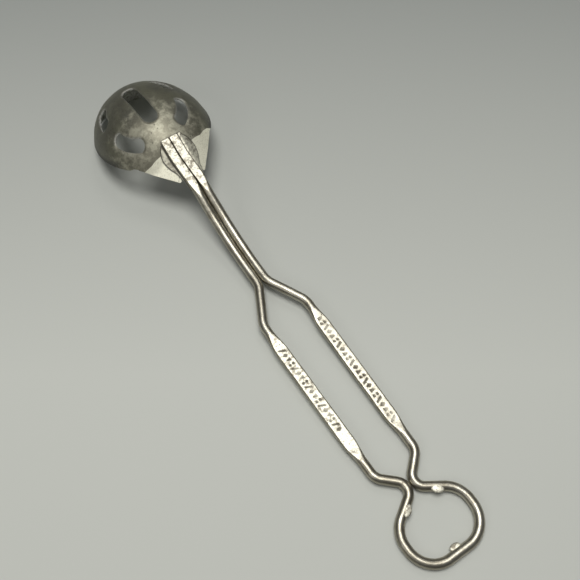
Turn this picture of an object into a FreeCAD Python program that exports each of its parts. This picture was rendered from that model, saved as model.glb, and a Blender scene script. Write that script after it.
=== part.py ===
"""Slotted spoon with a bent-wire handle that ends in a cap-lifting loop.

Three rigid pieces: the wire frame, the pressed bowl, and the saddle plate between them.
The handle frame has the wire's centre line in z = 0 from the loop, near y = 0, to the
shank's bend, and the bowl at +Y. The slope frame starts at the shank's bend and leans up
along it, with Y along the strips. The bowl frame has the bowl's rim in z = 0.
A last placement lays the spoon face down, on its loop and on the tip of its bowl.
"""
import FreeCAD, Part
import math
import os
import re
import Sketcher

DIMENSIONS = {
    # wire and loop
    "wire_radius": 2.25,
    "loop_end": 2.25,
    "loop_half_width": 17.3,
    "loop_bend": 12.5,
    "loop_waist": 22.9,
    "loop_side_bend": 12.0,
    # neck between the loop and the grips
    "neck_side": -1.0,
    "neck_line": 34.6,
    "neck_bend": 5.2,
    "elbow_side": 11.1,
    "elbow_line": 45.6,
    "elbow_bend": 7.0,
    # grips and shoulders
    "shoulder_side": 12.05,
    "shoulder_line": 131.0,
    "shoulder_bend": 12.0,
    "shank_side": 2.3,
    "shank_line": 149.9,
    "shank_bend": 12.0,
    "shank_end": 154.0,
    "grip_start": 54.0,
    "grip_end": 126.0,
    "grip_half_width": 3.25,
    "grip_thickness": 2.4,
    "grip_taper": 8.0,
    "grip_scoop": 1.0,
    # lugs that catch under a crown cap
    "lug_length": 5.2,
    "lug_width": 3.4,
    "lug_thickness": 1.3,
    "lug_side": 8.1,
    "lug_line": 26.2,
    "lug_turn": 147.0,
    "end_lug_line": 4.5,
    # shank that rises to the bowl, and the strips at its end
    "rise_corner": 176.2,
    "rise_bend": 98.0,
    "rise_angle": 24.5,
    "wire_reach": 35.0,
    "strip_start": 33.0,
    "strip_end": 59.7,
    "strip_ramp": 5.0,
    "strip_gap": 0.1,
    "strip_width": 4.5,
    "strip_above": 0.8,
    "strip_below": 1.0,
    # saddle plate, folded like a low roof
    "saddle_sheet": 0.6,
    "fold_side": 5.0,
    "fold_angle": 30.0,
    "wing_side": 8.9,
    "wing_line": 51.5,
    "wing_tip_side": 7.5,
    "wing_tip_line": 56.1,
    "wing_waist_side": 7.9,
    "wing_waist_line": 46.5,
    "wing_root_side": 5.6,
    "wing_root_line": 42.5,
    "tail_side": 4.7,
    "tail_line": 32.0,
    # bowl
    "bowl_sheet": 1.0,
    "bowl_half_width": 30.0,
    "bowl_half_length": 36.5,
    "bowl_depth": 22.0,
    "bowl_line": 254.7,
    "bowl_lift": 3.4,
    "bowl_tilt": 20.0,
    "root_top": 59.0,
    "root_bottom": 28.0,
    "root_skirt": 20.2,
    "corner_side": 20.4,
    "corner_line": 27.0,
    "root_side": 7.0,
    "root_line": 43.5,
    "flare_side": 27.0,
    "flare_line": 20.0,
    # slots in the bowl; the whole pattern sits a little to one side
    "pattern_side": -2.3,
    "middle_slot_length": 30.0,
    "middle_slot_width": 8.0,
    "middle_slot_line": -4.8,
    "rear_slot_radius": 18.8,
    "rear_slot_line": -9.0,
    "rear_slot_low": -50.0,
    "rear_slot_high": -12.0,
    "rear_slot_width": 4.7,
    "front_slot_radius": 19.0,
    "front_slot_line": 1.1,
    "front_slot_low": 2.0,
    "front_slot_high": 32.0,
    "front_slot_width": 5.0,
    # longer than any piece it is used to cut
    "clear_cut": 80.0,
}

doc = FreeCAD.newDocument("slotted_spoon")
sheet = doc.addObject("Spreadsheet::Sheet", "dims")
for row, (alias, value) in enumerate(DIMENSIONS.items(), start=1):
    sheet.set("A%d" % row, alias)
    sheet.set("B%d" % row, str(value))
    sheet.setAlias("B%d" % row, alias)
probe = doc.addObject("App::FeaturePython", "probe")
probe.addProperty("App::PropertyFloat", "number")
doc.recompute()


def size(alias):
    """The sheet's number for one alias."""
    return float(sheet.get(alias))


def linked(formula):
    """The formula with each alias pointed at the sheet."""
    return re.sub(r"[a-z_]+", lambda w: "dims." + w[0] if w[0] in DIMENSIONS else w[0], formula)


def bind(thing, prop, formula):
    """Ties a property to the sheet."""
    thing.setExpression(prop, linked(formula))


def value_of(formula):
    """The number that a formula stands for now."""
    bind(probe, "number", formula)
    probe.recompute()
    return probe.number


def origin_plane(body, role):
    """One of a body's own origin planes."""
    return next(f for f in body.Origin.OriginFeatures if f.Role == role)


def new_sketch(body, name, role, offset=None):
    """A sketch on an origin plane, moved and turned within it by offset."""
    sketch = body.newObject("Sketcher::SketchObject", name)
    sketch.AttachmentSupport = [(origin_plane(body, role), "")]
    sketch.MapMode = "FlatFace"
    if offset is not None:
        sketch.AttachmentOffset = offset
    return sketch


def pin_point(sketch, point, across, up, name):
    """Holds a sketch point at two formulas; a formula of "0" puts it on the axis."""
    geometry, end = point
    for kind, formula, axis in (("DistanceX", across, -2), ("DistanceY", up, -1)):
        if formula == "0":
            sketch.addConstraint(Sketcher.Constraint("PointOnObject", geometry, end, axis))
            continue
        index = sketch.addConstraint(
            Sketcher.Constraint(kind, -1, 1, geometry, end, value_of(formula)))
        label = "%s_%s" % (name, kind[-1].lower())
        sketch.renameConstraint(index, label)
        bind(sketch, "Constraints." + label, formula)


def polygon(sketch, corners):
    """A closed outline of straight lines through (across, up) formulas."""
    points = [FreeCAD.Vector(value_of(x), value_of(y), 0) for x, y in corners]
    lines = []
    for here, there in zip(points, points[1:] + points[:1]):
        lines.append(sketch.addGeometry(Part.LineSegment(here, there)))
    for line, following in zip(lines, lines[1:] + lines[:1]):
        sketch.addConstraint(Sketcher.Constraint("Coincident", line, 2, following, 1))
    for line, (x, y) in zip(lines, corners):
        pin_point(sketch, (line, 1), x, y, "corner%d" % line)


def bent_path(sketch, stations):
    """Straight runs through (across, up, bend radius) stations, joined by tangent arcs."""
    points = [FreeCAD.Vector(value_of(x), value_of(y), 0) for x, y, bend in stations]
    arcs = {}
    entries = [points[0]]
    leaves = [points[0]]
    for i in range(1, len(points) - 1):
        radius = value_of(stations[i][2])
        before = (points[i] - points[i - 1]).normalize()
        after = (points[i + 1] - points[i]).normalize()
        turn = math.atan2(before.x * after.y - before.y * after.x, before.dot(after))
        cut = radius * math.tan(abs(turn) / 2)
        entry = points[i] - before * cut
        side = math.copysign(1.0, turn)
        centre = entry + FreeCAD.Vector(-before.y, before.x, 0) * (side * radius)
        start = math.atan2(entry.y - centre.y, entry.x - centre.x)
        first, last = (start, start + turn) if turn > 0 else (start + turn, start)
        circle = Part.Circle(centre, FreeCAD.Vector(0, 0, 1), radius)
        arcs[i] = (Part.ArcOfCircle(circle, first, last), 1 if turn > 0 else 2)
        entries.append(entry)
        leaves.append(points[i] + after * cut)
    entries.append(points[-1])
    marks = [sketch.addGeometry(Part.Point(p), True) for p in points]
    for mark, (x, y, bend) in zip(marks, stations):
        pin_point(sketch, (mark, 1), x, y, "station%d" % mark)
    previous = None
    for i in range(len(points) - 1):
        run = sketch.addGeometry(Part.LineSegment(leaves[i], entries[i + 1]))
        if previous is None:
            sketch.addConstraint(Sketcher.Constraint("Coincident", run, 1, marks[0], 1))
        else:
            arc, out_end = previous
            sketch.addConstraint(Sketcher.Constraint("Tangent", arc, out_end, run, 1))
            sketch.addConstraint(Sketcher.Constraint("PointOnObject", marks[i], 1, run))
        if i + 1 in arcs:
            shape, in_end = arcs[i + 1]
            arc = sketch.addGeometry(shape)
            sketch.addConstraint(Sketcher.Constraint("PointOnObject", marks[i + 1], 1, run))
            sketch.addConstraint(Sketcher.Constraint("Tangent", run, 2, arc, in_end))
            index = sketch.addConstraint(Sketcher.Constraint("Radius", arc, shape.Radius))
            sketch.renameConstraint(index, "bend%d" % i)
            bind(sketch, "Constraints.bend%d" % i, stations[i + 1][2])
            previous = (arc, 3 - in_end)
        else:
            sketch.addConstraint(Sketcher.Constraint("Coincident", run, 2, marks[-1], 1))


def stadium(sketch, length, width):
    """A round-ended outline centred on the sketch's origin, long way across."""
    radius = size(width) / 2
    reach = size(length) / 2 - radius
    up = FreeCAD.Vector(0, 0, 1)
    right = FreeCAD.Vector(reach, 0, 0)
    rise = FreeCAD.Vector(0, radius, 0)
    right_cap = sketch.addGeometry(
        Part.ArcOfCircle(Part.Circle(right, up, radius), -math.pi / 2, math.pi / 2))
    top = sketch.addGeometry(Part.LineSegment(right + rise, -right + rise))
    left_cap = sketch.addGeometry(
        Part.ArcOfCircle(Part.Circle(-right, up, radius), math.pi / 2, 3 * math.pi / 2))
    bottom = sketch.addGeometry(Part.LineSegment(-right - rise, right - rise))
    loop = [right_cap, top, left_cap, bottom]
    for piece, following in zip(loop, loop[1:] + loop[:1]):
        sketch.addConstraint(Sketcher.Constraint("Tangent", piece, 2, following, 1))
    sketch.addConstraint(Sketcher.Constraint("Symmetric", right_cap, 3, left_cap, 3, -1, 1))
    sketch.addConstraint(Sketcher.Constraint("PointOnObject", right_cap, 3, -1))
    index = sketch.addConstraint(Sketcher.Constraint("Radius", right_cap, radius))
    sketch.renameConstraint(index, "cap")
    sketch.setExpression("Constraints.cap", "dims.%s / 2" % width)
    index = sketch.addConstraint(Sketcher.Constraint("DistanceX", left_cap, 3, right_cap, 3, 2 * reach))
    sketch.renameConstraint(index, "reach")
    sketch.setExpression("Constraints.reach", "dims.%s - dims.%s" % (length, width))


def curved_slot(sketch, slot, side):
    """A round-ended slot bent about the sketch's origin, to the right or, with side -1, left."""
    up = FreeCAD.Vector(0, 0, 1)
    radius = size(slot + "_radius")
    half = size(slot + "_width") / 2
    low = math.radians(size(slot + "_low"))
    high = math.radians(size(slot + "_high"))
    if side < 0:
        low, high = math.pi - high, math.pi - low

    def rim(reach):
        return sketch.addGeometry(Part.ArcOfCircle(Part.Circle(FreeCAD.Vector(), up, reach), low, high))

    def cap(angle, first):
        centre = FreeCAD.Vector(radius * math.cos(angle), radius * math.sin(angle), 0)
        ring = Part.Circle(centre, up, half)
        return sketch.addGeometry(Part.ArcOfCircle(ring, first, first + math.pi))

    outer = rim(radius + half)
    end = cap(high, high)
    inner = rim(radius - half)
    start = cap(low, low + math.pi)
    for piece, out_end, following, in_end in (
            (outer, 2, end, 1), (end, 2, inner, 2), (inner, 1, start, 1), (start, 2, outer, 1)):
        sketch.addConstraint(Sketcher.Constraint("Tangent", piece, out_end, following, in_end))
    sketch.addConstraint(Sketcher.Constraint("Coincident", outer, 3, -1, 1))
    sketch.addConstraint(Sketcher.Constraint("Coincident", inner, 3, -1, 1))
    for label, ring, sign in (("outside", outer, "+"), ("inside", inner, "-")):
        index = sketch.addConstraint(
            Sketcher.Constraint("Radius", ring, radius + (half if sign == "+" else -half)))
        sketch.renameConstraint(index, label)
        bind(sketch, "Constraints." + label, "%s_radius %s %s_width / 2" % (slot, sign, slot))
    upper, lower = (end, start) if side > 0 else (start, end)
    for label, ring, angle in (("top", upper, "_high"), ("foot", lower, "_low")):
        formula = "%s_radius * sin(%s%s)" % (slot, slot, angle)
        index = sketch.addConstraint(
            Sketcher.Constraint("DistanceY", -1, 1, ring, 3, value_of(formula)))
        sketch.renameConstraint(index, label)
        bind(sketch, "Constraints." + label, formula)


def circle(sketch, across, radius):
    """A circle on the sketch's horizontal axis."""
    centre = FreeCAD.Vector(value_of(across), 0, 0)
    ring = sketch.addGeometry(Part.Circle(centre, FreeCAD.Vector(0, 0, 1), size(radius)))
    pin_point(sketch, (ring, 3), across, "0", "centre")
    index = sketch.addConstraint(Sketcher.Constraint("Radius", ring, size(radius)))
    sketch.renameConstraint(index, "radius")
    bind(sketch, "Constraints.radius", radius)


def pipe(body, name, spine, profile):
    """A sweep of a profile sketch along a path sketch."""
    feature = body.newObject("PartDesign::AdditivePipe", name)
    feature.Profile = profile
    feature.Spine = spine
    doc.recompute()
    return feature


def pad(body, name, profile, length, centred=False, backwards=False):
    """A pad whose length is a formula."""
    feature = body.newObject("PartDesign::Pad", name)
    feature.Profile = profile
    bind(feature, "Length", length)
    feature.Midplane = centred
    feature.Reversed = backwards
    doc.recompute()
    return feature


def pocket(body, name, profile, length, backwards=False):
    """A pocket centred on its sketch, or only along the sketch's normal when backwards."""
    feature = body.newObject("PartDesign::Pocket", name)
    feature.Profile = profile
    bind(feature, "Length", length)
    feature.Midplane = not backwards
    feature.Reversed = backwards
    whole = feature.BaseFeature.Shape.Volume
    doc.recompute()
    if feature.Shape.Volume > whole - 0.01:
        raise RuntimeError(name + " cut nothing")
    return feature


def mirrored(body):
    """Adds the other half of a body, across its own YZ plane."""
    feature = body.newObject("PartDesign::Mirrored", body.Name + "_mirrored")
    feature.TransformMode = "Whole shape"
    feature.MirrorPlane = (origin_plane(body, "YZ_Plane"), [""])
    body.Tip = feature
    doc.recompute()


def turned(axis, angle, base=(0, 0, 0)):
    """A placement: a turn about an axis, then a move to base."""
    return FreeCAD.Placement(FreeCAD.Vector(*base), FreeCAD.Rotation(FreeCAD.Vector(*axis), angle))


def make_wire_frame():
    """One wire: loop, neck, grips, shoulders, shank and the two strips at its ends."""
    body = doc.addObject("PartDesign::Body", "wire_frame")
    body.Label = "wire_frame"

    handle_path = new_sketch(body, "handle_path", "XY_Plane")
    bent_path(handle_path, [
        ("0", "loop_end", None),
        ("loop_half_width", "loop_end", "loop_bend"),
        ("loop_half_width", "loop_waist", "loop_side_bend"),
        ("neck_side", "neck_line", "neck_bend"),
        ("elbow_side", "elbow_line", "elbow_bend"),
        ("shoulder_side", "shoulder_line", "shoulder_bend"),
        ("shank_side", "shank_line", "shank_bend"),
        ("shank_side", "shank_end", None),
    ])
    loop_section = new_sketch(body, "loop_section", "YZ_Plane")
    circle(loop_section, "loop_end", "wire_radius")
    pipe(body, "handle_wire", handle_path, loop_section)

    rise_path = new_sketch(body, "rise_path", "YZ_Plane")
    bind(rise_path, "AttachmentOffset.Base.z", "shank_side")
    bent_path(rise_path, [
        ("shank_end", "0", None),
        ("rise_corner", "0", "rise_bend"),
        ("rise_corner + wire_reach * cos(rise_angle)", "wire_reach * sin(rise_angle)", None),
    ])
    shank_section = new_sketch(body, "shank_section", "XZ_Plane")
    bind(shank_section, "AttachmentOffset.Base.z", "-shank_end")
    circle(shank_section, "shank_side", "wire_radius")
    pipe(body, "shank_wire", rise_path, shank_section)

    add_grip(body)
    add_strip(body)
    for name, side, line, turn in (("side_lug", "lug_side", "lug_line", "lug_turn"),
                                   ("end_lug", "0", "end_lug_line", "0")):
        outline = new_sketch(body, name + "_outline", "XY_Plane", turned((0, 0, 1), value_of(turn)))
        bind(outline, "AttachmentOffset.Base.x", side)
        bind(outline, "AttachmentOffset.Base.y", line)
        stadium(outline, "lug_length", "lug_width")
        pad(body, name, outline, "lug_thickness", centred=True)
    mirrored(body)
    return body


def add_grip(body):
    """Flattens the wire between the elbow and the shoulder, with a scoop at each end."""
    lean = math.degrees(math.atan2(
        size("shoulder_side") - size("elbow_side"), size("shoulder_line") - size("elbow_line")))
    outline = new_sketch(body, "grip_outline", "XY_Plane", turned((0, 0, 1), -lean))
    bind(outline, "AttachmentOffset.Base.x", "elbow_side")
    bind(outline, "AttachmentOffset.Base.y", "elbow_line")
    start = "grip_start - elbow_line"
    end = "grip_end - elbow_line"
    polygon(outline, [
        ("wire_radius", start),
        ("grip_half_width", start + " + grip_taper"),
        ("grip_half_width", end + " - grip_taper"),
        ("wire_radius", end),
        ("-wire_radius", end),
        ("-grip_half_width", end + " - grip_taper"),
        ("-grip_half_width", start + " + grip_taper"),
        ("-wire_radius", start),
    ])
    pad(body, "grip_blade", outline, "grip_thickness", centred=True)
    for name, sign in (("top", ""), ("bottom", "-")):
        flat = new_sketch(body, "grip_%s_profile" % name, "YZ_Plane")
        bind(flat, "AttachmentOffset.Base.z", "shoulder_side")
        face = sign + "grip_thickness / 2"
        skin = sign + "wire_radius"
        clear = sign + "(wire_radius + grip_scoop)"
        polygon(flat, [
            ("grip_start", clear),
            ("grip_start", skin),
            ("grip_start + grip_scoop", face),
            ("grip_end - grip_scoop", face),
            ("grip_end", skin),
            ("grip_end", clear),
        ])
        pocket(body, "grip_" + name, flat, "2 * shoulder_side")


def add_strip(body):
    """Flattens the wire's end into the strip that lies on the bowl."""
    def slope_sketch(name, side):
        sketch = new_sketch(body, name, "YZ_Plane", turned((0, 0, 1), size("rise_angle")))
        bind(sketch, "AttachmentOffset.Base.x", "rise_corner")
        bind(sketch, "AttachmentOffset.Base.z", side)
        return sketch

    blade = slope_sketch("strip_profile", "strip_gap")
    polygon(blade, [
        ("strip_start", "-strip_below"),
        ("strip_end", "-strip_below"),
        ("strip_end", "strip_above"),
        ("strip_start", "strip_above"),
    ])
    pad(body, "strip", blade, "strip_width")
    for name, sign, face in (("top", "", "strip_above"), ("bottom", "-", "-strip_below")):
        ramp = slope_sketch("strip_%s_profile" % name, "shank_side")
        clear = sign + "(wire_radius + strip_above)"
        polygon(ramp, [
            ("strip_start - strip_ramp", clear),
            ("strip_start - strip_ramp", sign + "wire_radius"),
            ("strip_start", face),
            ("wire_reach + strip_ramp", face),
            ("wire_reach + strip_ramp", clear),
        ])
        pocket(body, "strip_" + name, ramp, "2 * strip_width")


def make_tang_saddle():
    """The folded plate under the strips: a half-moon wing each side and two thin tails."""
    body = doc.addObject("PartDesign::Body", "tang_saddle")
    body.Label = "tang_saddle"
    skirt = "(wing_side + saddle_sheet)"
    drop = "(%s - fold_side) * tan(fold_angle)" % skirt
    section = new_sketch(body, "fold_section", "XZ_Plane")
    bind(section, "AttachmentOffset.Base.z", "-strip_end")
    polygon(section, [
        ("0", "-strip_below - saddle_sheet"),
        ("fold_side", "-strip_below - saddle_sheet"),
        (skirt, "-strip_below - saddle_sheet - " + drop),
        (skirt, "-strip_below - saddle_sheet - %s + saddle_sheet / cos(fold_angle)" % drop),
        ("fold_side + saddle_sheet * tan(fold_angle / 2)", "-strip_below"),
        ("0", "-strip_below"),
    ])
    pad(body, "folded_plate", section, "strip_end - tail_line")
    outside = new_sketch(body, "wing_outline", "XY_Plane")
    polygon(outside, [
        ("strip_gap + strip_width", "strip_end"),
        ("wing_tip_side", "wing_tip_line"),
        ("wing_side", "wing_line"),
        ("wing_waist_side", "wing_waist_line"),
        ("wing_root_side", "wing_root_line"),
        ("tail_side", "tail_line"),
        ("2 * wing_side", "tail_line"),
        ("2 * wing_side", "strip_end"),
    ])
    pocket(body, "wing_trim", outside, "clear_cut")
    mirrored(body)
    return body


def make_bowl():
    """The pressed dome, its folded root and its five slots, drawn rim down."""
    body = doc.addObject("PartDesign::Body", "bowl")
    body.Label = "bowl"
    sphere = "((bowl_half_width ^ 2 + bowl_depth ^ 2) / (2 * bowl_depth))"
    stretch = "bowl_half_length / bowl_half_width"

    def dome(kind, name, inset):
        feature = body.newObject("PartDesign::%sEllipsoid" % kind, name)
        feature.AttachmentSupport = [(origin_plane(body, "XY_Plane"), "")]
        feature.MapMode = "FlatFace"
        bind(feature, "AttachmentOffset.Base.z", "bowl_depth - " + sphere)
        bind(feature, "Radius1", "%s - %s" % (sphere, inset))
        bind(feature, "Radius2", "%s - %s" % (sphere, inset))
        bind(feature, "Radius3", "%s * %s - %s" % (sphere, stretch, inset))
        feature.Angle1 = -90
        feature.Angle2 = 90
        feature.Angle3 = 360
        doc.recompute()

    def across_slope(name, along):
        sketch = new_sketch(body, name, "XZ_Plane",
                            turned((1, 0, 0), size("rise_angle") + size("bowl_tilt")))
        lean = "rise_angle + bowl_tilt"
        bind(sketch, "AttachmentOffset.Base.y",
             "%s * sin(%s) - (bowl_line - rise_corner) * sin(bowl_tilt) - bowl_lift * cos(bowl_tilt)"
             % (along, lean))
        bind(sketch, "AttachmentOffset.Base.z",
             "(bowl_line - rise_corner) * cos(bowl_tilt) - bowl_lift * sin(bowl_tilt) - %s * cos(%s)"
             % (along, lean))
        return sketch

    def roof(sketch, inset, skirt):
        top = "(strip_below + saddle_sheet + %s)" % inset
        fold = "(fold_side - %s * tan(fold_angle / 2))" % inset
        eaves = "-%s - (%s - %s) * tan(fold_angle)" % (top, skirt, fold)
        floor = "-%s - 2 * root_skirt" % skirt
        polygon(sketch, [
            ("-" + fold, "-" + top),
            (fold, "-" + top),
            (skirt, eaves),
            (skirt, floor),
            ("-" + skirt, floor),
            ("-" + skirt, eaves),
        ])

    dome("Additive", "dome", "0")
    below = new_sketch(body, "rim_outline", "XY_Plane")
    far = "clear_cut"
    polygon(below, [("-" + far, "-" + far), (far, "-" + far), (far, far), ("-" + far, far)])
    rim_cut = body.newObject("PartDesign::Pocket", "rim_cut")
    rim_cut.Profile = below
    bind(rim_cut, "Length", far)
    doc.recompute()

    root = across_slope("root_section", "root_top")
    roof(root, "0", "root_skirt")
    pad(body, "root", root, "root_top - root_bottom")
    trim = new_sketch(body, "root_outline", "XY_Plane")
    outline = [
        ("root_side", "-root_line"),
        ("corner_side", "-corner_line"),
        ("flare_side", "-flare_line"),
        ("clear_cut", "-flare_line"),
        ("clear_cut", "-clear_cut"),
    ]
    polygon(trim, outline + [("-" + x, y) for x, y in reversed(outline)])
    pocket(body, "root_trim", trim, "2 * clear_cut")

    dome("Subtractive", "hollow", "bowl_sheet")
    inside = across_slope("root_hollow_section", "root_top")
    roof(inside, "bowl_sheet", "(root_skirt + bowl_sheet)")
    pocket(body, "root_hollow", inside, "root_top - root_bottom + bowl_sheet", backwards=True)
    add_slots(body)
    return body


def add_slots(body):
    """A long slot down the middle of the dome, and a rear and a front one each side of it."""
    middle = new_sketch(body, "middle_slot", "XY_Plane", turned((0, 0, 1), 90))
    bind(middle, "AttachmentOffset.Base.x", "pattern_side")
    bind(middle, "AttachmentOffset.Base.y", "middle_slot_line")
    stadium(middle, "middle_slot_length", "middle_slot_width")
    pocket(body, "middle_opening", middle, "clear_cut", backwards=True)
    for place in ("rear_slot", "front_slot"):
        for hand, side in (("left", -1), ("right", 1)):
            name = "%s_%s" % (place, hand)
            sketch = new_sketch(body, name, "XY_Plane")
            bind(sketch, "AttachmentOffset.Base.x", "pattern_side")
            bind(sketch, "AttachmentOffset.Base.y", place + "_line")
            curved_slot(sketch, place, side)
            pocket(body, name + "_opening", sketch, "clear_cut", backwards=True)


def rest_tilt():
    """The angle that the handle rises at when the loop and the bowl's tip both touch a table."""
    tip = bowl_frame.multVec(FreeCAD.Vector(0, size("bowl_half_length"), 0))
    run = tip.y - size("loop_end")
    slant = math.atan2(tip.z, run)
    return math.degrees(math.asin(-size("wire_radius") / math.hypot(run, tip.z)) - slant)


bowl_frame = turned((1, 0, 0), -size("bowl_tilt"), (0, size("bowl_line"), size("bowl_lift")))
slope_frame = turned((1, 0, 0), size("rise_angle"), (0, size("rise_corner"), 0))
handle_frame = FreeCAD.Placement()

parts = {
    "wire_frame": (make_wire_frame(), handle_frame),
    "tang_saddle": (make_tang_saddle(), slope_frame),
    "bowl": (make_bowl(), bowl_frame),
}

rest = turned((1, 0, 0), rest_tilt())
for body, frame in parts.values():
    body.Placement = rest.multiply(frame)
doc.recompute()
box = FreeCAD.BoundBox()
for body, frame in parts.values():
    box.add(body.Shape.optimalBoundingBox(False))
rest.Base = FreeCAD.Vector(-box.Center.x, -box.Center.y, -box.ZMin)
for body, frame in parts.values():
    body.Placement = rest.multiply(frame)
doc.removeObject("probe")
doc.recompute()

for item in doc.Objects:
    if "Invalid" in item.State or "Error" in item.State:
        raise RuntimeError("%s failed: %s" % (item.Name, item.State))
os.makedirs("parts", exist_ok=True)
for name, (body, frame) in parts.items():
    shape = body.Shape
    if shape.isNull() or not shape.isValid() or len(shape.Solids) != 1:
        raise RuntimeError(name + " is not one valid solid")
    shape.exportStep("parts/%s.step" % name)
    print(name, "volume", round(shape.Volume), "mm3", "box", shape.optimalBoundingBox(False))
print("rest tilt", round(rest_tilt(), 3), "origin moved by", rest.Base)
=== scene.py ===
"""Looks of the slotted spoon with a bent-wire handle and a cap-lifting loop.

Lengths are in millimetres until a mesh is made. The handle frame has the wire's centre line
in z = 0, the slope frame leans up along the shank, and the bowl frame has the rim in z = 0.
"""
import math

import bpy
import numpy as np
from mathutils import Matrix, Vector, noise


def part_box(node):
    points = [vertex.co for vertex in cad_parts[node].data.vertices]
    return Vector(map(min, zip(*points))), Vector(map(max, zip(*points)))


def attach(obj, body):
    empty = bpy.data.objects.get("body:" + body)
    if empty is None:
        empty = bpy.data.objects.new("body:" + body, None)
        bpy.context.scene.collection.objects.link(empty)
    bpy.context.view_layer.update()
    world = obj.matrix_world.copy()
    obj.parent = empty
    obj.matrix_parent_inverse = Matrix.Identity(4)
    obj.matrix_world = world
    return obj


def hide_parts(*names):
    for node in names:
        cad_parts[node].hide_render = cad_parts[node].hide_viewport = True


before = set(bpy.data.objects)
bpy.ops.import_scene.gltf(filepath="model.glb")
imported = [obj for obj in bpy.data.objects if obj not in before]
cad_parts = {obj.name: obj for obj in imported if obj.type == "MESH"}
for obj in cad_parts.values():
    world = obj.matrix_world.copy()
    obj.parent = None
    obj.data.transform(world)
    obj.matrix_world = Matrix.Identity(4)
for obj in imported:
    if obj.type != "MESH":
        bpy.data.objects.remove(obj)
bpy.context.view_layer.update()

# the same driving sizes as the CAD model
WIRE = 2.25  # half the wire's thickness
REST_TILT = math.radians(1.365)
LOOP_END = 2.25
RISE_CORNER, RISE_ANGLE = 176.2, math.radians(24.5)
SHANK_SIDE = 2.3
STRIP_START, STRIP_END, STRIP_RAMP = 33.0, 59.7, 5.0
STRIP_ABOVE, STRIP_BELOW = 0.8, 1.0
GRIP_START, GRIP_END, GRIP_HALF_WIDTH, GRIP_HALF = 54.0, 126.0, 3.25, 1.2
SADDLE_SHEET, SADDLE_START, FOLD_SIDE, FOLD_ANGLE = 0.6, 32.0, 5.0, math.radians(30)
BOWL_SHEET, BOWL_DEPTH, BOWL_HALF_WIDTH, BOWL_HALF_LENGTH = 1.0, 22.0, 30.0, 36.5
BOWL_LINE, BOWL_LIFT, BOWL_TILT = 254.7, 3.4, math.radians(20)
CORNER, ROOT = (20.4, -27.0), (7.0, -43.5)
PATTERN_SIDE = -2.3
MIDDLE_SLOT_Y, MIDDLE_SLOT_LENGTH, SLOT_RADIUS = -4.8, 30.0, 4.0
# each side slot: the radius and the centre of its line, its two end bearings in degrees, its width
SIDE_SLOTS = ((18.8, -9.0, -50.0, -12.0, 4.7), (19.0, 1.1, 2.0, 32.0, 5.0))
# corners of the wire's line from the loop to the shank, and the radius of each bend
WIRE_CORNERS = (
    ((17.3, LOOP_END), 12.5), ((17.3, 22.9), 12.0), ((-1.0, 34.6), 5.2), ((11.1, 45.6), 7.0),
    ((12.05, 131.0), 12.0), ((SHANK_SIDE, 149.9), 12.0), ((SHANK_SIDE, RISE_CORNER), 98.0))
# the saddle plate's half width at places along the slope
SADDLE_OUTLINE = (
    (SADDLE_START, 4.7), (38.0, 5.3), (42.5, 6.0), (46.5, 8.0),
    (51.5, 8.9), (56.1, 7.5), (58.6, 5.6), (STRIP_END, 4.6))

# what the looks add to the CAD model's shapes
STRIP_LEAN, LEAN_START, LEAN_END = 1.2, 34.0, 52.0
GRIP_EXTRA, GRIP_TAPER, GRIP_WIDENING = 1.5, 10.0, 11.0
STRIP_GAP, TOP_RAMP_START, TOP_RAMP_END = 0.05, 26, 40
TIP_ROUND, TIP_BLUNT = 0.9, 0.35
PRESS_POWER, PRESS_FREE, EDGE_DROP = 9, 0.25, 0.3
WIRE_SWELL, WIRE_WANDER, FLAT_DENT, SADDLE_DENT, LUG_DENT = 0.035, 0.1, 0.05, 0.04, 0.05
STAMP_PITCH, STAMP_DEPTH = 2.6, 0.2
RIGHT_STAMPS, LEFT_STAMPS = (58.0, 122.0), (70.0, 118.0)
RIGHT_GRIP_WEAR = 0.4
SADDLE_BLEND, SADDLE_FOLD_SOFT, SADDLE_GAP = 1.8, 0.35, 0.02
SADDLE_BEVEL, BOWL_BEVEL = 0.1, 0.16
SLOT_ROLL, SLOT_ROLL_DEPTH = 1.5, 0.6
BOWL_SWAY, BOWL_SWELL = 0.9, 0.7
BROAD_DENT, FINE_DENT, DENT_SINK = 0.16, 0.05, 0.1
ROOT_FOLD_SOFT, ROOT_DROP, OUTSIDE = 1.2, 200, -60
# where the root's roof ends in the dome: distance from the middle, and y
ROOT_FADE, ROOT_FADE_LENGTH = ((0, -31), (12, -31), (CORNER[0], -26), (BOWL_HALF_WIDTH, -22)), 22
# the upper border of the root's bright faces, from the left edge of the bowl to the right
WORN_BORDER = (
    (-30, -25), (-CORNER[0], -28.6), (-14.5, -31.0), (-8.5, -32),
    (8.5, -32), (14.5, -29.6), (CORNER[0], -25.2), (30, -19))
PALE_CENTRE, PALE_SQUEEZE = (-8, -28), 0.6

# lugs: place, turn about Z, lean about X in degrees, then length, width and thickness
SIDE_LUG = (8.1, 27.2, 1.55), 143, -5, (5.8, 3.4, 1.3)
END_LUG = (-0.4, 4.8, 0.2), -8, -10, (5.2, 3.2, 1.3)

# the stage, in metres, watts and degrees
FLOOR_HALF = 3.0
# the floor's tone near and far: the darker far tone is painted fall-off of light
FLOOR_NEAR, FLOOR_FAR = (0.585, 0.6, 0.56, 1), (0.31, 0.325, 0.31, 1)
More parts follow.
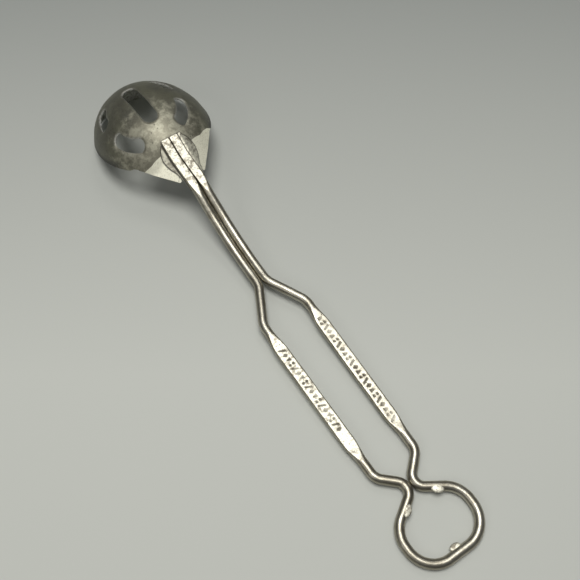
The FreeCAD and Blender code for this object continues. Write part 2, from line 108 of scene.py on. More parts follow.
# each lamp: name, place, what it aims at, width, power and colour
LAMPS = (
    ("key", (0.0, 0.07, 1.15), (0, 0.02, 0), 0.6, 8.8, (1.0, 0.99, 0.96)),
    ("far", (0.5, 0.45, 0.9), (0, 0.02, 0), 0.3, 0.8, (1.0, 0.99, 0.96)),
    ("left", (-0.88, -0.15, 0.8), (0, 0.06, 0), 0.5, 1.0, (1.0, 0.98, 0.94)))
SKY_LOW, SKY_HIGH, SKY_TINT = 0.03, 0.19, (0.92, 0.94, 0.95, 1)
CAMERA_PLACE, CAMERA_TURN = (-0.0783, -0.1354, 0.3242), (26.16, 0.19, -34.13)
CAMERA_SENSOR, CAMERA_LENS = 36, 46.2

# the fineness of the meshes: the wire's step and ring, and the bowl's rays and rings
WIRE_STEP, WIRE_RING = 0.3, 72
BOWL_RAYS, BOWL_RINGS = 480, 150

DOME_RADIUS = (BOWL_HALF_WIDTH ** 2 + BOWL_DEPTH ** 2) / (2 * BOWL_DEPTH)
DOME_STRETCH = BOWL_HALF_LENGTH / BOWL_HALF_WIDTH
LEAN = RISE_ANGLE + BOWL_TILT


def turn_x(angle):
    """The rotation about X as a 3 by 3 array."""
    c, s = math.cos(angle), math.sin(angle)
    return np.array([[1, 0, 0], [0, c, -s], [0, s, c]])


REST_SHIFT = np.array([0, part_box("wire_frame")[0].y * 1000, WIRE - LOOP_END * math.sin(REST_TILT)])


def to_metres(points, angle=0.0, base=(0, 0, 0)):
    """Points of a frame that leans by angle at base, as row-frame metres."""
    handle = np.asarray(points, float) @ turn_x(angle).T + np.array(base)
    return (handle @ turn_x(REST_TILT).T + REST_SHIFT) / 1000


def ease(x, low, high):
    """A smooth step from 0 at low to 1 at high."""
    t = np.clip((np.asarray(x, float) - low) / (high - low), 0, 1)
    return t * t * (3 - 2 * t)


def wobble(points, scale, seed):
    """Smooth noise of about -1 to 1 at each point, with features of about scale."""
    shift = Vector((seed * 17.3, seed * 5.1, seed * 29.7))
    return np.array([noise.noise(Vector(p) / scale + shift) for p in points])


def new_mesh(name, points, faces, material, marks=None):
    """A smooth-shaded object of row-frame points, with one float attribute for each mark."""
    mesh = bpy.data.meshes.new(name)
    mesh.from_pydata([tuple(p) for p in points], [], [tuple(int(i) for i in f) for f in faces])
    mesh.polygons.foreach_set("use_smooth", [True] * len(mesh.polygons))
    for mark, values in (marks or {}).items():
        attribute = mesh.attributes.new(mark, "FLOAT", "POINT")
        attribute.data.foreach_set("value", np.asarray(values, np.float32))
    mesh.materials.append(material)
    mesh.update()
    made = bpy.data.objects.new(name, mesh)
    bpy.context.scene.collection.objects.link(made)
    return made


def sheet_faces(rows, columns, closed=False):
    """Quads of a grid of points; closed joins the last column to the first."""
    faces = []
    for i in range(rows - 1):
        for j in range(columns if closed else columns - 1):
            k = (j + 1) % columns
            here, above = i * columns, (i + 1) * columns
            faces.append((here + j, here + k, above + k, above + j))
    return faces


# ---------------------------------------------------------------- materials

class Shader:
    """A node material that is built from short calls."""

    def __init__(self, name):
        self.material = bpy.data.materials.new(name)
        self.material.use_nodes = True
        self.tree = self.material.node_tree
        self.surface = self.tree.nodes["Principled BSDF"]

    def add(self, kind, inputs=None, **settings):
        """A node with its settings and its inputs set or linked."""
        node = self.tree.nodes.new(kind)
        for key, value in settings.items():
            setattr(node, key, value)
        for key, value in (inputs or {}).items():
            self.put(node, key, value)
        return node

    def put(self, node, key, value):
        """Sets one input, or links it to another node's output."""
        if isinstance(value, bpy.types.NodeSocket):
            self.tree.links.new(value, node.inputs[key])
        else:
            node.inputs[key].default_value = value

    def mark(self, name):
        """The mesh attribute called name."""
        return self.add("ShaderNodeAttribute", attribute_name=name).outputs["Fac"]

    def noise(self, size, detail=4.0, rough=0.6, offset=0.0):
        """Noise with features of about size millimetres."""
        place = self.add("ShaderNodeMapping", {
            "Vector": self.add("ShaderNodeTexCoord").outputs["Object"],
            "Location": (offset, offset, offset)})
        return self.add("ShaderNodeTexNoise", {
            "Vector": place.outputs[0], "Scale": 1000 / size, "Detail": detail, "Roughness": rough,
        }).outputs["Fac"]

    def spots(self, size, reach):
        """Specks about size millimetres apart: 1 in each speck and 0 between them."""
        cells = self.add("ShaderNodeTexVoronoi", {
            "Vector": self.add("ShaderNodeTexCoord").outputs["Object"], "Scale": 1000 / size})
        return self.ramp(cells.outputs["Distance"], reach, reach * 0.4)

    def ramp(self, value, low, high):
        """0 below low and 1 above high, or the other way round when low is the larger."""
        return self.add("ShaderNodeMapRange", {
            "Value": value, "From Min": low, "From Max": high,
        }, interpolation_type="SMOOTHSTEP").outputs[0]

    def math(self, operation, a, b):
        """One operation on two values."""
        return self.add("ShaderNodeMath", {0: a, 1: b}, operation=operation).outputs[0]

    def mix(self, share, a, b):
        """A colour between a and b."""
        node = self.add("ShaderNodeMix", data_type="RGBA")
        for key, value in ((0, share), (6, a), (7, b)):
            self.put(node, key, value)
        return node.outputs[2]

    def bump(self, height, depth, below=None):
        """A bump of depth millimetres, over another one if it is given."""
        inputs = {"Height": height, "Distance": depth / 1000}
        if below is not None:
            inputs["Normal"] = below
        return self.add("ShaderNodeBump", inputs).outputs[0]

    def finish(self, **inputs):
        """Sets the surface's inputs and gives back the material."""
        for key, value in inputs.items():
            self.put(self.surface, key.replace("_", " "), value)
        return self.material


def grey(level, warm=1.0, cool=0.9):
    """A colour near grey: red is level times warm and blue level times cool."""
    return (level * warm, level, level * cool, 1)


def wire_steel():
    """Old drawn steel: satin, brown in the low spots, bright where hands and presses rubbed it."""
    s = Shader("wire_steel")
    worn = s.mark("worn")
    stamp = s.mark("stamp")
    broad = s.noise(9, 3)
    fine = s.noise(2.2, 4, 0.55)
    pits = s.math("MULTIPLY", s.spots(2.4, 0.15), s.ramp(s.noise(5, 3, offset=3.0), 0.54, 0.62))
    dull = s.mix(s.ramp(broad, 0.35, 0.65), grey(0.31, 1.08, 0.8), grey(0.44, 1.05, 0.84))
    dull = s.mix(s.math("MULTIPLY", s.ramp(fine, 0.5, 0.8), 0.7), dull, grey(0.2, 1.12, 0.75))
    smudge = s.ramp(s.noise(2.8, 5, 0.66, offset=7.0), 0.47, 0.64)
    bright = s.mix(smudge, grey(0.93, 1.03, 0.86), grey(0.3, 1.1, 0.8))
    speck = s.ramp(s.noise(0.9, 3, 0.6, offset=11.0), 0.56, 0.66)
    bright = s.mix(s.math("MULTIPLY", speck, 0.6), bright, grey(0.14, 1.1, 0.8))
    colour = s.mix(worn, dull, bright)
    colour = s.mix(s.math("MAXIMUM", pits, stamp), colour, grey(0.08, 1.15, 0.75))
    rough = s.math("ADD", s.math("MULTIPLY", fine, 0.12), s.math("MULTIPLY", worn, 0.22))
    normal = s.bump(s.noise(5, 3, offset=1.0), 0.12)
    normal = s.bump(fine, 0.015, normal)
    normal = s.bump(s.math("SUBTRACT", 1.0, pits), 0.05, normal)
    return s.finish(Base_Color=colour, Metallic=1.0, Normal=normal,
                    Roughness=s.math("ADD", rough, 0.31))


def bowl_steel():
    """Pressed sheet under a dark olive tarnish, rubbed bright on the root's flat faces."""
    s = Shader("bowl_steel")
    worn = s.mark("worn")
    pale = s.mark("pale")
    rim = s.mark("rim")
    contact_shade = s.mark("contact_shade")
    lip_and_highlight = s.mark("lip_and_highlight")
    broad = s.noise(13, 4, 0.55)
    cloud = s.noise(4.2, 6, 0.7, offset=2.0)
    fine = s.noise(0.8, 5, 0.7, offset=5.0)
    pits = s.math("MULTIPLY", s.spots(1.7, 0.2), s.ramp(s.noise(5, 3, offset=9.0), 0.5, 0.6))
    dark = s.mix(s.ramp(broad, 0.35, 0.65), grey(0.125, 1.02, 0.8), grey(0.17, 1.01, 0.72))
    dark = s.mix(s.ramp(cloud, 0.48, 0.75), dark, grey(0.21, 1.02, 0.74))
    dark = s.mix(s.math("MULTIPLY", s.ramp(fine, 0.5, 0.68), 0.55), dark, grey(0.07, 1.04, 0.8))
    # painted shade: the foot of the dome, next to the floor, is darkened by the rim mark
    dark = s.mix(s.math("MULTIPLY", rim, 0.7), dark, grey(0.05, 1.0, 0.95))
    rubbed = s.mix(s.ramp(cloud, 0.42, 0.6), grey(0.21, 1.05, 0.76), grey(0.35, 1.03, 0.78))
    rubbed = s.mix(s.math("MULTIPLY", s.ramp(fine, 0.5, 0.7), 0.5), rubbed, grey(0.13, 1.08, 0.76))
    drift = s.math("SUBTRACT", cloud, 0.5)
    edge = s.math("ADD", pale, s.math("MULTIPLY", drift, 1.6))
    skin = s.mix(s.ramp(edge, 0.25, 0.85), dark, rubbed)
    bright = s.mix(s.ramp(fine, 0.45, 0.7), grey(0.98, 1.02, 0.82), grey(0.74, 1.04, 0.78))
    patch = s.math("ADD", worn, s.math("MULTIPLY", drift, 0.5))
    colour = s.mix(s.ramp(patch, 0.4, 0.6), skin, bright)
    # pale bare steel on the rolled slot edges, with a painted highlight on the far edge of each slot
    rolled = s.mix(s.ramp(fine, 0.4, 0.65), grey(0.6, 1.0, 0.94), grey(0.3, 1.02, 0.9))
    colour = s.mix(lip_and_highlight, colour, rolled)
    # pits and painted contact shade round the saddle plate darken the colour
    colour = s.mix(s.math("MAXIMUM", pits, contact_shade), colour, grey(0.04, 1.1, 0.85))
    smooth = s.math("SUBTRACT", 0.35, s.math("MULTIPLY", worn, 0.15))
    rough = s.math("ADD", s.math("MULTIPLY", cloud, 0.25), smooth)
    normal = s.bump(broad, 0.35)
    normal = s.bump(fine, 0.05, normal)
    normal = s.bump(s.math("SUBTRACT", 1.0, pits), 0.1, normal)
    metal = s.math("SUBTRACT", 0.6, s.math("MULTIPLY", worn, 0.25))
    return s.finish(Base_Color=colour, Metallic=metal, Roughness=rough, Normal=normal)


def cut_steel():
    """The bowl's inside and its cut edges, rubbed and paler than its outer skin."""
    s = Shader("cut_steel")
    cloud = s.noise(1.6, 4, 0.6)
    colour = s.mix(s.ramp(cloud, 0.4, 0.65), grey(0.75, 1.0, 0.95), grey(0.4, 1.03, 0.88))
    rough = s.math("ADD", s.math("MULTIPLY", cloud, 0.3), 0.35)
    return s.finish(Base_Color=colour, Metallic=0.5, Roughness=rough, Normal=s.bump(cloud, 0.08))


def saddle_steel():
    """The saddle plate: rubbed bright, with brown smudges and specks."""
    s = Shader("saddle_steel")
    cloud = s.noise(2.6, 5, 0.65)
    fine = s.noise(0.7, 5, 0.7, offset=4.0)
    pits = s.math("MULTIPLY", s.spots(1.4, 0.2), s.ramp(s.noise(3, 3, offset=6.0), 0.5, 0.6))
    colour = s.mix(s.ramp(cloud, 0.46, 0.62), grey(0.8, 1.03, 0.82), grey(0.32, 1.07, 0.8))
    # pits and painted shade in the crevices beside the strips darken the colour
    colour = s.mix(s.math("MAXIMUM", pits, s.mark("contact_shade")), colour, grey(0.06, 1.12, 0.8))
    normal = s.bump(cloud, 0.12)
    normal = s.bump(fine, 0.05, normal)
    return s.finish(Base_Color=colour, Metallic=0.6, Normal=normal,
                    Roughness=s.math("ADD", s.math("MULTIPLY", fine, 0.2), 0.3))


# ---------------------------------------------------------------- wire

def route(stations, step):
    """Evenly spaced points along straight runs that are joined by tangent arcs."""
    corners = [np.array(point, float) for point, bend in stations]
    track = [corners[0]]
    for i in range(1, len(corners) - 1):
        bend = stations[i][1]
        before = corners[i] - corners[i - 1]
        before /= np.linalg.norm(before)
        after = corners[i + 1] - corners[i]
        after /= np.linalg.norm(after)
        turn = math.acos(max(-1.0, min(1.0, float(before @ after))))
        entry = corners[i] - before * bend * math.tan(turn / 2)
        inward = after - before * float(before @ after)
        inward /= np.linalg.norm(inward)
        for angle in np.linspace(0, turn, max(6, int(bend * turn / 0.2))):
            track.append(entry + bend * (math.sin(angle) * before + (1 - math.cos(angle)) * inward))
    track.append(corners[-1])
    track = np.array(track)
    length = np.concatenate([[0], np.cumsum(np.linalg.norm(np.diff(track, axis=0), axis=1))])
    even = np.linspace(0, length[-1], int(length[-1] / step) + 1)
    return np.stack([np.interp(even, length, track[:, k]) for k in range(3)], axis=1)


def wire_line(step):
    """The wire's centre line, from the left strip's tip round the loop to the right one's."""
    cos, sin = math.cos(RISE_ANGLE), math.sin(RISE_ANGLE)
    tip = (SHANK_SIDE, RISE_CORNER + STRIP_END * cos, STRIP_END * sin)
    corners = [((x, y, 0), bend) for (x, y), bend in WIRE_CORNERS]
    half = route([((0, LOOP_END, 0), 0)] + corners + [(tip, 0)], step)
    left = half[:0:-1] * (-1, 1, 1)
    return np.vstack([left, half])


def stamped(along, across, side):
    """How deep the worn row of plain marks is pressed into a grip's top face, 0 to 1."""
    low, high = RIGHT_STAMPS if side > 0 else LEFT_STAMPS
    cell = np.floor((along - low) / STAMP_PITCH)
    u = along - low - (cell + 0.5) * STAMP_PITCH
    diamond = np.abs(u) + 0.7 * np.abs(across) - 0.85
    slash = np.maximum(np.abs(u - 0.45 * across) - 0.32, np.abs(across) - 1.5)
    dots = np.hypot(u, np.abs(across) - 0.9) - 0.55
    wedge = np.maximum(np.abs(u) + 0.4 * across - 0.4, -across - 1.0)
    shape = np.choose(cell.astype(int) % 4, [diamond, slash, dots, wedge])
    inside = ease(along, low, low + 1) * (1 - ease(along, high - 1, high))
    return (1 - ease(shape, -0.05, 0.3)) * inside


def strip_lean(slope):
    """How far the strips lean to the left of the middle along the slope."""
    return STRIP_LEAN * ease(slope, LEAN_START, LEAN_END)


def make_wire():
    """One bent wire: round, pressed flat at the grips and at the strips on its ends."""
    line = wire_line(WIRE_STEP)
    ring = WIRE_RING
    ahead = np.gradient(line, axis=0)
    ahead /= np.linalg.norm(ahead, axis=1)[:, None]
    up = np.array([0, 0, 1.0]) - ahead * ahead[:, 2:3]
    up /= np.linalg.norm(up, axis=1)[:, None]
    outward = np.cross(ahead, up)
    along = line[:, 1]
    side = np.sign(line[:, 0])
    slope = (along - RISE_CORNER) * math.cos(RISE_ANGLE) + line[:, 2] * math.sin(RISE_ANGLE)
    leftward = strip_lean(slope) * -side

    def window(low, high, ramp):
        return ease(along, low, low + ramp) * (1 - ease(along, high - ramp, high))

    grip = window(GRIP_START - GRIP_EXTRA, GRIP_END + GRIP_EXTRA, GRIP_TAPER)
    strip = ease(slope, STRIP_START - STRIP_RAMP, STRIP_START)
    half_width = WIRE + (GRIP_HALF_WIDTH - WIRE) * window(GRIP_START, GRIP_END, GRIP_WIDENING)
    top_ramp = ease(slope, TOP_RAMP_START, TOP_RAMP_END)
    top = WIRE + (GRIP_HALF - WIRE) * grip + (STRIP_ABOVE - WIRE) * top_ramp
    bottom = WIRE + (GRIP_HALF - WIRE) * grip + (STRIP_BELOW - WIRE) * strip
    shift = STRIP_GAP * strip + leftward

    # the strips' ends: rounded in plan and along their edges
    tip = np.clip((slope - (STRIP_END - TIP_ROUND)) / TIP_ROUND, 0, 1)
    half_width = half_width * (1 - 0.22 * (1 - np.sqrt(1 - tip ** 2)))
    blunt = np.clip((slope - (STRIP_END - TIP_BLUNT)) / TIP_BLUNT, 0, 1)
    top = top * (1 - 0.45 * (1 - np.sqrt(1 - blunt ** 2)))
    bottom = bottom * (1 - 0.2 * (1 - np.sqrt(1 - blunt ** 2)))

    angle = np.linspace(0, 2 * math.pi, ring, endpoint=False)
    angle = angle - 0.12 * np.sin(2 * angle)
    wide = half_width[:, None] * np.cos(angle)
    tall = WIRE * np.sin(angle)[None, :] * np.ones_like(wide)

    def pressed(height, limit):
        """The height, held under a limit with a small rounded edge."""
        ratio = np.abs(height) / limit
        hard = height / (1 + ratio ** PRESS_POWER) ** (1 / PRESS_POWER)
        free = np.clip((limit - (WIRE - PRESS_FREE)) / PRESS_FREE, 0, 1)
        return hard * (1 - free) + height * free

    above = pressed(tall, top[:, None])
    below = pressed(tall, bottom[:, None])
    high = np.where(tall >= 0, above, below)
    limits = np.where(tall >= 0, top[:, None], bottom[:, None])
    flat = np.clip((np.abs(tall) / limits - 1.02) / 0.2, 0, 1)
    corner = np.clip((np.abs(wide) / half_width[:, None] - 0.76) / 0.24, 0, 1)
    rounded = corner ** 2 * (strip + 0.5 * grip)[:, None]
    high = high - EDGE_DROP * rounded * np.clip(tall, 0, 0.6) / 0.6
    lumps = wobble(line, 7.0, 1)[:, None] * np.cos(angle)
    lumps = lumps + wobble(line, 5.0, 2)[:, None] * np.sin(angle)
    swell = WIRE_SWELL * lumps * (1 - flat)
    wide = wide + swell * np.cos(angle) + shift[:, None]
    high = high + swell * np.sin(angle)
    centre = line + outward * (WIRE_WANDER * wobble(line, 16.0, 3) * (1 - strip))[:, None]

    marks = stamped(along[:, None], wide, 1) * (side > 0)[:, None]
    marks = marks + stamped(along[:, None], wide, -1) * (side < 0)[:, None]
    faint = 0.8 + 0.7 * wobble(line, 9.0, 4)[:, None]
    stamp = marks * (tall > 0) * flat * (grip > 0.9)[:, None] * np.clip(faint, 0.35, 1)
    high = high - STAMP_DEPTH * stamp
    high = high + FLAT_DENT * wobble(line, 4.0, 5)[:, None] * flat * (grip + strip)[:, None]
    points = centre[:, None, :] + outward[:, None, :] * wide[..., None]
    points = points + up[:, None, :] * high[..., None]

    rows = len(line)
    flat_top = flat * np.clip(grip + strip, 0, 1)[:, None]
    worn = flat_top * np.where((side > 0) & (grip > strip), RIGHT_GRIP_WEAR, 1)[:, None]
    faces = sheet_faces(rows, ring, closed=True)
    points = points.reshape(-1, 3)
    ends = np.stack([points[:ring].mean(0), points[-ring:].mean(0)])
    total = rows * ring
    faces += [(j, total, (j + 1) % ring) for j in range(ring)]
    last = (rows - 1) * ring
    faces += [(last + j, last + (j + 1) % ring, total + 1) for j in range(ring)]
    wire = new_mesh("wire", to_metres(np.vstack([points, ends])), faces, WIRE_STEEL, {
        "worn": np.concatenate([worn.ravel(), [0.5, 0.5]]),
        "stamp": np.concatenate([stamp.ravel(), [0, 0]])})
    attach(wire, "root")
    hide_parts("wire_frame")


def make_lug(name, place, turn, lean, size):
    """A small flat ear, pointed at both ends, pinched out of the loop's inner side."""
    length, width, thickness = size
    rows, ring = 9, 40
    angle = np.linspace(0, 2 * math.pi, ring, endpoint=False)
    outline = np.stack([
        length / 2 * np.sign(np.cos(angle)) * np.abs(np.cos(angle)) ** 0.9,
        width / 2 * np.sign(np.sin(angle)) * np.abs(np.sin(angle)) ** 1.25], axis=1)
    layers = []
    for level in np.linspace(-1, 1, rows):
        shrink = (1 - abs(level) ** 5) ** 0.2 if abs(level) < 1 else 0.72
        layers.append(np.column_stack([outline * shrink, np.full(ring, level * thickness / 2)]))
    points = np.vstack(layers + [[(0, 0, -thickness / 2)], [(0, 0, thickness / 2)]])
    points[:, 2] += LUG_DENT * wobble(points, 1.4, 6)
    faces = sheet_faces(rows, ring, closed=True)
    total = rows * ring
    faces += [((j + 1) % ring, j, total) for j in range(ring)]
    faces += [(total - ring + j, total - ring + (j + 1) % ring, total + 1) for j in range(ring)]
    pose = Matrix.Rotation(math.radians(turn), 3, "Z") @ Matrix.Rotation(math.radians(lean), 3, "X")
    points = points @ np.array(pose).T + np.array(place)
    worn = np.clip(points[:, 2] / (thickness / 2), 0, 1)
    lug = new_mesh(name, to_metres(points), faces, WIRE_STEEL, {
        "worn": worn, "stamp": np.zeros(len(points))})
    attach(lug, "root")
    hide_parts("wire_frame")


# ---------------------------------------------------------------- saddle plate

def saddle_reach(slope):
    """The saddle plate's half width along the slope: narrow tails, round wings, a narrow tip."""
    places, halves = zip(*SADDLE_OUTLINE)
    spread = np.linspace(-SADDLE_BLEND, SADDLE_BLEND, 13)
    return sum(np.interp(slope + shift, places, halves) for shift in spread) / len(spread)


def make_saddle():
    """The thin plate under the strips, with a half-moon wing folded down on each side."""
    lines = np.linspace(SADDLE_START, STRIP_END, 120)
    across = np.sin(np.linspace(-1, 1, 65) * math.pi / 2)
    x = saddle_reach(lines)[:, None] * across[None, :]
    over = np.abs(x) - FOLD_SIDE
    drop = math.tan(FOLD_ANGLE) * (np.sqrt(over ** 2 + SADDLE_FOLD_SOFT ** 2) + over) / 2
    z = -STRIP_BELOW - drop + SADDLE_GAP
    points = np.stack([x, np.broadcast_to(lines[:, None], x.shape), z], axis=2).reshape(-1, 3)
    points[:, 2] += SADDLE_DENT * wobble(points, 3.0, 7)
    # painted shade on the plate beside and under the strips, where they sit on it
    clear = np.abs(points[:, 0] + strip_lean(points[:, 1])) - 2 * WIRE
    saddle = new_mesh("saddle", to_metres(points, RISE_ANGLE, (0, RISE_CORNER, 0)),
                      sheet_faces(len(lines), len(across)), SADDLE_STEEL,
                      {"contact_shade": 1 - ease(clear, 0.45, 0.95)})
    thicken(saddle, SADDLE_SHEET, SADDLE_BEVEL)
    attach(saddle, "root")
    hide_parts("tang_saddle")


def thicken(piece, sheet, edge):
    """Gives a surface the thickness of its sheet, below it, and softens its cut edges."""
    solid = piece.modifiers.new("sheet", "SOLIDIFY")
    solid.thickness = sheet / 1000
    solid.offset = -1
    bevel = piece.modifiers.new("edges", "BEVEL")
    bevel.width = edge / 1000
    bevel.segments = 2
    bevel.limit_method = "ANGLE"
    bevel.angle_limit = math.radians(50)


# ---------------------------------------------------------------- bowl

def dome_height(x, y):
    """The dome's height over its rim plane, far below it outside the dome."""
    rest = DOME_RADIUS ** 2 - x ** 2 - (y / DOME_STRETCH) ** 2
    return np.where(rest > 0, np.sqrt(np.maximum(rest, 0)), OUTSIDE) - DOME_RADIUS + BOWL_DEPTH


def root_height(x, y):
    """The height of the root's folded roof over the rim plane."""
    level = -math.sin(RISE_ANGLE) * (BOWL_LINE - RISE_CORNER) + math.cos(RISE_ANGLE) * BOWL_LIFT
    over = np.abs(x) - FOLD_SIDE
    fold = math.tan(FOLD_ANGLE) * (np.sqrt(over ** 2 + ROOT_FOLD_SOFT) + over) / 2
    ridge = -STRIP_BELOW - SADDLE_SHEET - fold
    return (ridge - level + math.sin(LEAN) * y) / math.cos(LEAN)


def bowl_height(x, y):
    """The outer surface: the dome and the root's roof, blended where they meet."""
    dome = dome_height(x, y)
    start = np.interp(np.abs(x), *zip(*ROOT_FADE))
    root = root_height(x, y) - ROOT_DROP * ease(y, start, start + ROOT_FADE_LENGTH)
    blend = 0.5 + 0.7 * ease(np.abs(x), 9, 14)
    return blend * np.logaddexp(dome / blend, root / blend)


def slot_gap(x, y):
    """The distance in plan from the nearest slot's outline, negative inside a slot."""
    x = x - PATTERN_SIDE
    reach = MIDDLE_SLOT_LENGTH / 2 - SLOT_RADIUS
    gap = np.hypot(x, np.maximum(np.abs(y - MIDDLE_SLOT_Y) - reach, 0)) - SLOT_RADIUS
    for radius, line, low, high, width in SIDE_SLOTS:
        u, v = np.abs(x), y - line
        bearing = np.clip(np.arctan2(v, u), math.radians(low), math.radians(high))
        arc = np.hypot(u - radius * np.cos(bearing), v - radius * np.sin(bearing)) - width / 2
        gap = np.minimum(gap, arc)
    return gap


def make_bowl():
    """The pressed bowl: a dome with five slots, drawn out into a folded root."""
    rays, rings = BOWL_RAYS, BOWL_RINGS
    bearing = np.linspace(0, 2 * math.pi, rays, endpoint=False)
    cos, sin = np.cos(bearing), np.sin(bearing)
    edge = 1 / np.hypot(cos / BOWL_HALF_WIDTH, sin / BOWL_HALF_LENGTH)
    corners = [(-CORNER[0], CORNER[1]), (-ROOT[0], ROOT[1]), ROOT, CORNER]
    for (ax, ay), (bx, by) in zip(corners, corners[1:]):
        nx, ny = by - ay, ax - bx
        facing = cos * nx + sin * ny
        hit = (ax * nx + ay * ny) / np.where(np.abs(facing) < 1e-9, 1e-9, facing)
        px, py = cos * hit, sin * hit
        between = (hit > 0) & ((px - ax) * (px - bx) + (py - ay) * (py - by) <= 0)
        edge = np.where(between, np.maximum(edge, hit), edge)
    steep = math.asin(BOWL_HALF_WIDTH / DOME_RADIUS)
    out = np.sin(np.linspace(0.004, 1, rings) * steep) / math.sin(steep)
    x = (out[:, None] * (edge * cos)[None, :]).ravel()
    y = (out[:, None] * (edge * sin)[None, :]).ravel()
    faces = np.array(sheet_faces(rings, rays, closed=True))[:, ::-1]

    def pull(chosen):
        """Moves the chosen points onto the nearest slot's outline."""
        px, py = x[chosen], y[chosen]
        for _ in range(3):
            gap = slot_gap(px, py)
            gx = (slot_gap(px + 0.01, py) - gap) / 0.01
            gy = (slot_gap(px, py + 0.01) - gap) / 0.01
            size = np.maximum(gx * gx + gy * gy, 0.25)
            px, py = px - gap * gx / size, py - gap * gy / size
        x[chosen], y[chosen] = px, py

    pull(np.abs(slot_gap(x, y)) < 0.12)
    centre = slot_gap(x[faces].mean(axis=1), y[faces].mean(axis=1))
    faces = faces[centre > 0]
    used = np.unique(faces)
    pull(used[slot_gap(x[used], y[used]) < -1e-4])
    points = np.stack([x, y, bowl_height(x, y)], axis=1)

    # the marks for the materials: bright root, paler skin near it, painted shade round the saddle,
    # painted shade along the rim's foot
    side = np.abs(points[:, 0])
    border = np.interp(points[:, 0], *zip(*WORN_BORDER))
    worn = 1 - ease(points[:, 1] - border, -0.5, 0.5)
    away = np.hypot((points[:, 0] - PALE_CENTRE[0]) * PALE_SQUEEZE, points[:, 1] - PALE_CENTRE[1])
    pale = 1 - ease(away, 4, 29)
    base = np.array([0, BOWL_LINE - RISE_CORNER, BOWL_LIFT])
    on_slope = (points @ turn_x(-BOWL_TILT).T + base) @ turn_x(RISE_ANGLE)
    past = np.maximum(side - saddle_reach(on_slope[:, 1]), on_slope[:, 1] - STRIP_END)
    past = np.maximum(past, SADDLE_START - on_slope[:, 1])
    # painted shade: a dark line on the bowl along the saddle plate's edge
    contact_shade = (1 - ease(np.abs(past - 0.1), 0.2, 0.6)) * (points[:, 1] < 0)
    # painted shade along the rim's foot: the lowest few millimetres over the rim plane, except on the
    # bright root
    rim = (1 - ease(points[:, 2], 0.5, 3.0)) * (1 - worn)

    # dents, rolled slot edges and the lean of the dome
    dents = BROAD_DENT * wobble(points, 11.0, 8) + FINE_DENT * wobble(points, 4.0, 9)
    normal = np.stack([points[:, 0], points[:, 1] / DOME_STRETCH ** 2,
                       points[:, 2] + DOME_RADIUS - BOWL_DEPTH], axis=1)
    normal /= np.linalg.norm(normal, axis=1)[:, None]
    inner = ease(points[:, 2], 1.0, 6.0)
    rolled = 1 - ease(slot_gap(points[:, 0], points[:, 1]), -0.2, SLOT_ROLL)
    move = (dents - DENT_SINK) * inner - SLOT_ROLL_DEPTH * rolled ** 2
    points = points + normal * move[:, None]
    sway = ease(points[:, 1], -30, 0)
    points[:, 0] -= BOWL_SWAY * sway
    points[:, 2] += BOWL_SWELL * sway * inner

    keep = np.full(len(points), -1)
    keep[used] = np.arange(len(used))
    # the pale rolled edge round each slot, plus a painted highlight that brightens the slot's far
    # edge
    ahead = (slot_gap(x, y + 0.01) - slot_gap(x, y - 0.01)) / 0.02
    lip_and_highlight = rolled ** 2 * (0.15 + 0.85 * ease(ahead, 0.1, 0.9))
    marks = {"worn": worn, "pale": pale, "rim": rim, "contact_shade": contact_shade, "lip_and_highlight": lip_and_highlight}
    bowl = new_mesh("bowl_shell", to_metres(points[used], -BOWL_TILT, (0, BOWL_LINE, BOWL_LIFT)),
                    keep[faces], BOWL_STEEL, {name: mark[used] for name, mark in marks.items()})
    bowl.data.materials.append(CUT_STEEL)
    thicken(bowl, BOWL_SHEET, BOWL_BEVEL)
    bowl.modifiers["sheet"].material_offset_rim = 1
    bowl.modifiers["sheet"].material_offset = 1
    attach(bowl, "root")
    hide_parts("bowl")


# ---------------------------------------------------------------- stage

def floor_paint():
    """A plain pale grey, with painted shade that darkens it towards the far end."""
    s = Shader("floor")
    place = s.add("ShaderNodeTexCoord").outputs["Object"]
    parts = s.add("ShaderNodeSeparateXYZ", {0: place})
    ahead = s.math("MULTIPLY", parts.outputs[1], 0.83)
    far = s.math("ADD", ahead, s.math("MULTIPLY", parts.outputs[0], 0.56))
    fade = s.add("ShaderNodeMapRange", {"Value": far, "From Min": -0.04, "From Max": 0.22}).outputs[0]
    tone = s.mix(fade, FLOOR_NEAR, FLOOR_FAR)
    return s.finish(Base_Color=tone, Roughness=0.9)


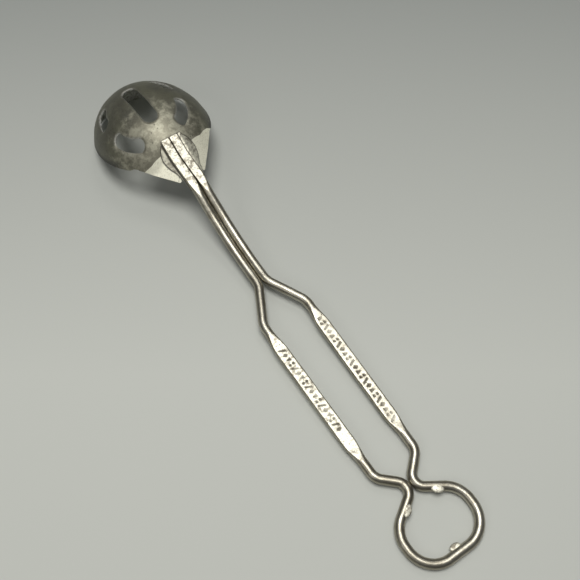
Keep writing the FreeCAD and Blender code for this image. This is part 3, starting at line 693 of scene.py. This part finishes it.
def make_stage():
    """The floor, the lights and the camera."""
    corners = [(x * FLOOR_HALF, y * FLOOR_HALF, 0) for x, y in ((-1, -1), (1, -1), (1, 1), (-1, 1))]
    floor = new_mesh("floor", corners, [(0, 1, 2, 3)], floor_paint())

    for name, place, aim, width, power, tint in LAMPS:
        data = bpy.data.lights.new(name, "AREA")
        data.shape = "DISK"
        data.size = width
        data.energy = power
        data.color = tint
        made = bpy.data.objects.new(name, data)
        made.location = place
        made.rotation_euler = (Vector(aim) - Vector(place)).to_track_quat("-Z", "Y").to_euler()
        bpy.context.scene.collection.objects.link(made)

    world = bpy.data.worlds.new("room")
    world.use_nodes = True
    nodes, links = world.node_tree.nodes, world.node_tree.links
    split = nodes.new("ShaderNodeSeparateXYZ")
    links.new(nodes.new("ShaderNodeTexCoord").outputs["Generated"], split.inputs[0])
    rise = nodes.new("ShaderNodeMapRange")
    rise.interpolation_type = "SMOOTHSTEP"
    levels = (("From Min", 0.1), ("From Max", 0.8), ("To Min", SKY_LOW), ("To Max", SKY_HIGH))
    for key, value in levels:
        rise.inputs[key].default_value = value
    links.new(split.outputs[2], rise.inputs[0])
    links.new(rise.outputs[0], nodes["Background"].inputs[1])
    nodes["Background"].inputs[0].default_value = SKY_TINT
    bpy.context.scene.world = world

    camera = bpy.data.objects.new("camera", bpy.data.cameras.new("camera"))
    bpy.context.scene.collection.objects.link(camera)
    camera.location = CAMERA_PLACE
    camera.rotation_euler = [math.radians(angle) for angle in CAMERA_TURN]
    camera.data.sensor_width = CAMERA_SENSOR
    camera.data.lens = CAMERA_LENS
    camera.data.clip_start = 0.01
    bpy.context.scene.camera = camera
    bpy.context.scene.view_settings.view_transform = "Standard"


WIRE_STEEL = wire_steel()
BOWL_STEEL = bowl_steel()
CUT_STEEL = cut_steel()
SADDLE_STEEL = saddle_steel()

make_wire()
(lug_x, lug_y, lug_z), lug_turn, lug_lean, lug_size = SIDE_LUG
make_lug("lug_right", (lug_x, lug_y, lug_z), lug_turn, lug_lean, lug_size)
make_lug("lug_left", (-lug_x, lug_y, lug_z), -lug_turn, lug_lean, lug_size)
make_lug("lug_end", *END_LUG)
make_saddle()
make_bowl()
make_stage()
